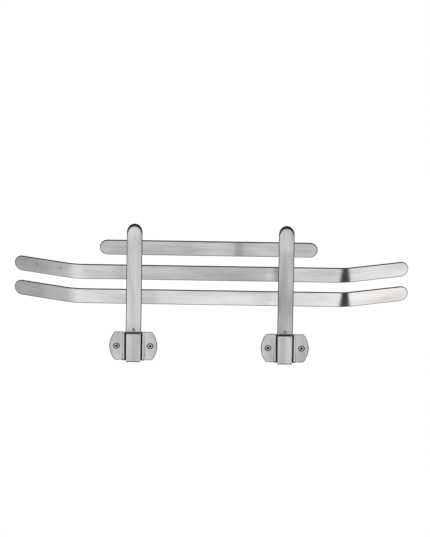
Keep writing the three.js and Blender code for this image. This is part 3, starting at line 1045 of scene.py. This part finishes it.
class WALLRACK_OT_screws(Operator):
    """Make the four wall screws"""

    bl_idname = "wall_rack.screws"
    bl_label = "Wall screws"

    def execute(self, context):
        sizes = settings().fasteners
        nodes = [f"wall_screw_{side}_{place}" for side in SIDES for place in "ab"]
        low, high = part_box(nodes[0])
        unit = wall_screw(sizes, high.y - low.y)
        material = turned_steel("screw_steel", 9.0, (0.64, 0.63, 0.62))
        head = low.y + sizes.head_sink
        mesh = set_on_points("wall_screws", unit, nodes, head, pi / 2, material)
        finish_piece("wall_screws", mesh, material, "brackets", nodes)
        return {"FINISHED"}


class WALLRACK_OT_rivets(Operator):
    """Make the rivets through the arms' feet and behind the slats"""

    bl_idname = "wall_rack.rivets"
    bl_label = "Rivets"

    def execute(self, context):
        sizes = settings().fasteners
        material = turned_steel("rivet_steel", 15.0)
        feet = ["foot_rivet_" + side for side in SIDES]
        slats = [f"slat_rivet_{side}_{slat}" for side in SIDES for slat in SLATS]
        foot_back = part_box(feet[0])[1].y - ARM_FRONT
        slat_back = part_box(slats[0])[1].y - sizes.slat_head_height - ARM_FRONT
        for name, unit, nodes in (
            ("foot_rivets", foot_rivet(sizes, foot_back), feet),
            ("slat_rivets", slat_rivet(sizes, 0.8 * MM, slat_back), slats),
        ):
            mesh = set_on_points(name, unit, nodes, ARM_FRONT, pi, material)
            finish_piece(name, mesh, material, "rack", nodes)
        return {"FINISHED"}


def buffer_mesh(sizes, node):
    """A pad whose front follows the back of the arm's turned tip."""
    low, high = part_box(node)
    rise = 15 * MM
    half = (high.x - low.x) / 2
    arm_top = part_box(node.replace("buffer", "arm"))[1].z
    outline = [(-half, low.z), (half, low.z)]
    outline += [(half * x, high.z - rise + rise * z) for x, z in arc((0, 0), 1, 0, pi, 24)]
    pad = slab(node, outline, high.y - low.y, 0.5 * MM)
    stand_upright(pad, (high.y + low.y) / 2)
    start = arm_top - sizes.tip_radius * sin(sizes.tip_bend)
    centre_y = ARM_FRONT + sizes.tip_radius
    reach = sizes.tip_radius - BAR_THICKNESS - 0.05 * MM
    front, bottom, top = low.y - 2 * MM, low.z - 2 * MM, high.z + 4 * MM
    points = [(front, bottom), (front, top), (centre_y, top)]
    points += arc((centre_y, start), reach, pi - sizes.tip_bend, pi, 8)
    points.append((low.y + 0.001 * MM, bottom))
    tool = stand_across(slab("tip_back", points[::-1], 2.5 * half, 0.0), 0.0)
    mesh = cut(pad, tool, "DIFFERENCE")
    mesh.transform(Matrix.Translation(((low.x + high.x) / 2, 0, 0)))
    return smooth(mesh, radians(30))


class WALLRACK_OT_buffers(Operator):
    """Make the rubber buffers behind the arms' tips"""

    bl_idname = "wall_rack.buffers"
    bl_label = "Buffers"

    def execute(self, context):
        material = moulded("black_rubber", settings().finish.rubber, 1500.0, 0.78, 6.0, 0.35)
        for side in SIDES:
            node = "buffer_" + side
            mesh = buffer_mesh(settings().bars, node)
            finish_piece(side + "_buffer", mesh, material, "rack", [node])
        return {"FINISHED"}


class WALLRACK_OT_stage(Operator):
    """Make the floor, the light and the camera"""

    bl_idname = "wall_rack.stage"
    bl_label = "Stage"

    def execute(self, context):
        sizes = settings().stage
        add_floor(sizes)
        add_world()
        add_lights()
        add_camera(sizes)
        context.scene.view_settings.view_transform = "Standard"
        return {"FINISHED"}


def add_floor(sizes):
    """A pale floor and a pale backdrop all round, which the steel doesn't mirror."""
    built = bmesh.new()
    bmesh.ops.create_circle(built, cap_ends=True, segments=96, radius=FLOOR_RADIUS)
    bmesh.ops.translate(built, verts=built.verts, vec=(0, 0, -sizes.floor_drop))
    floor = link("floor", mesh_of("floor", built))
    built = bmesh.new()
    bmesh.ops.create_icosphere(built, subdivisions=5, radius=BACKDROP_RADIUS)
    dome_around = link("backdrop", mesh_of("backdrop", built))
    for piece in (floor, dome_around):
        material, nodes, glow = new_material("pale_" + piece.name, "ShaderNodeEmission")
        nodes.fill(glow, {"Color": (1.0, 1.0, 1.0, 1.0), "Strength": 1.02})
        piece.data.materials.append(material)
        piece.visible_glossy = piece.visible_diffuse = False
        piece.visible_transmission = piece.visible_shadow = False


def add_world():
    """A soft studio: a pale table below in front, weaker light at the sides and above."""
    world = bpy.data.worlds.new("soft_studio")
    world.use_nodes = True
    bpy.context.scene.world = world
    nodes = Nodes(world.node_tree)
    nodes.tree.nodes.clear()
    x, y, z = nodes.parts(nodes.add("ShaderNodeTexCoord").outputs["Generated"])
    rise = nodes.math("ARCSINE", z)
    side = nodes.math("ARCTAN2", x, nodes.times(y, -1.0))
    turn = nodes.math("ABSOLUTE", side)

    def fade(value, low, high, level_low, level_high):
        """A level that changes between two angles in degrees."""
        return nodes.ramp(value, radians(low), radians(high), level_low, level_high)

    height = nodes.math("ADD", fade(rise, -4, 9, 1.0, 0.26), fade(rise, 20, 42, 0.0, 0.22))
    level = nodes.math("ADD", fade(turn, 52, 80, 1.0, 0.3), fade(turn, 120, 150, 0.0, 0.8))
    weak_left = fade(side, -44, -8, 0.55, 1.0)
    # A dark flag stands in front, a little to the right, and shows in the right-hand bends.
    off_flag = nodes.math("ABSOLUTE", nodes.math("SUBTRACT", side, radians(18.5)))
    flag = nodes.times(fade(off_flag, 9.5, 15, 1.0, 0.0), fade(rise, -6, 2, 1.0, 0.0), 0.97)
    strength = nodes.times(height, level, weak_left, nodes.math("SUBTRACT", 1.0, flag), 1.35)
    background = nodes.add("ShaderNodeBackground")
    nodes.fill(background, {"Strength": strength, "Color": (1.0, 0.997, 0.992, 1.0)})
    nodes.put(background.outputs[0], nodes.add("ShaderNodeOutputWorld").inputs["Surface"])


def add_lights():
    """A large soft light high on the left, and a weaker one on the right."""
    for name, place, size, energy in (
        ("soft_left", (-1.6, -1.6, 2.2), 1.2, 16.0),
        ("soft_right", (1.9, -1.2, 2.0), 1.0, 7.0),
    ):
        light = bpy.data.lights.new(name, "AREA")
        light.shape, light.size, light.energy = "DISK", size, energy
        lamp = link(name, light)
        lamp.location = place
        lamp.rotation_euler = (-Vector(place)).to_track_quat("-Z", "Y").to_euler()


def add_camera(sizes):
    """A long lens above square, aimed a little to the right of the rack's middle."""
    rise, roll = sizes.camera_rise, sizes.camera_roll
    back = Vector((0, -cos(rise), sin(rise)))
    up = Vector((0, sin(rise), cos(rise)))
    right = Vector((1, 0, 0))
    leaning_up = up * cos(roll) + right * sin(roll)
    leaning_right = right * cos(roll) - up * sin(roll)
    camera = link("camera", bpy.data.cameras.new("camera"))
    camera.data.sensor_fit = "VERTICAL"
    camera.data.sensor_height = camera.data.sensor_width = SENSOR
    camera.data.lens = SENSOR * sizes.camera_distance / sizes.view_height
    camera.data.clip_end = 200.0
    axes = Matrix((leaning_right, leaning_up, back)).transposed().to_4x4()
    camera.matrix_world = Matrix.Translation(AIM + back * sizes.camera_distance) @ axes
    bpy.context.scene.camera = camera


# ---- Panel and registration ----


class WallRackSettings(PropertyGroup):
    bars: bpy.props.PointerProperty(type=BarSettings)
    brackets: bpy.props.PointerProperty(type=BracketSettings)
    knuckles: bpy.props.PointerProperty(type=KnuckleSettings)
    fasteners: bpy.props.PointerProperty(type=FastenerSettings)
    finish: bpy.props.PointerProperty(type=FinishSettings)
    stage: bpy.props.PointerProperty(type=StageSettings)


PIECE_OPERATORS = (
    WALLRACK_OT_slats, WALLRACK_OT_arms, WALLRACK_OT_brackets, WALLRACK_OT_spacers,
    WALLRACK_OT_knuckles, WALLRACK_OT_pins, WALLRACK_OT_screws, WALLRACK_OT_rivets,
    WALLRACK_OT_buffers, WALLRACK_OT_stage,
)


class WALLRACK_PT_panel(Panel):
    """Sizes, finishes and the pieces of the wall rack"""

    bl_idname = "WALLRACK_PT_panel"
    bl_label = "Wall Rack"
    bl_space_type = "VIEW_3D"
    bl_region_type = "UI"
    bl_category = "Wall Rack"

    def draw(self, context):
        for group in settings().bl_rna.properties:
            if group.identifier in ("rna_type", "name"):
                continue
            box = self.layout.box()
            box.label(text=group.identifier.capitalize())
            values = getattr(settings(), group.identifier)
            for item in values.bl_rna.properties:
                if item.identifier not in ("rna_type", "name"):
                    box.prop(values, item.identifier)
        for operator in PIECE_OPERATORS:
            self.layout.operator(operator.bl_idname)


CLASSES = (
    BarSettings, BracketSettings, KnuckleSettings, FastenerSettings, FinishSettings,
    StageSettings, WallRackSettings, *PIECE_OPERATORS, WALLRACK_PT_panel,
)


def register():
    for item in CLASSES:
        bpy.utils.register_class(item)
    bpy.types.Scene.wall_rack = bpy.props.PointerProperty(type=WallRackSettings)


def unregister():
    del bpy.types.Scene.wall_rack
    for item in reversed(CLASSES):
        bpy.utils.unregister_class(item)


def main():
    register()
    for operator in PIECE_OPERATORS:
        group, name = operator.bl_idname.split(".")
        getattr(getattr(bpy.ops, group), name)()


if __name__ == "__main__":
    main()
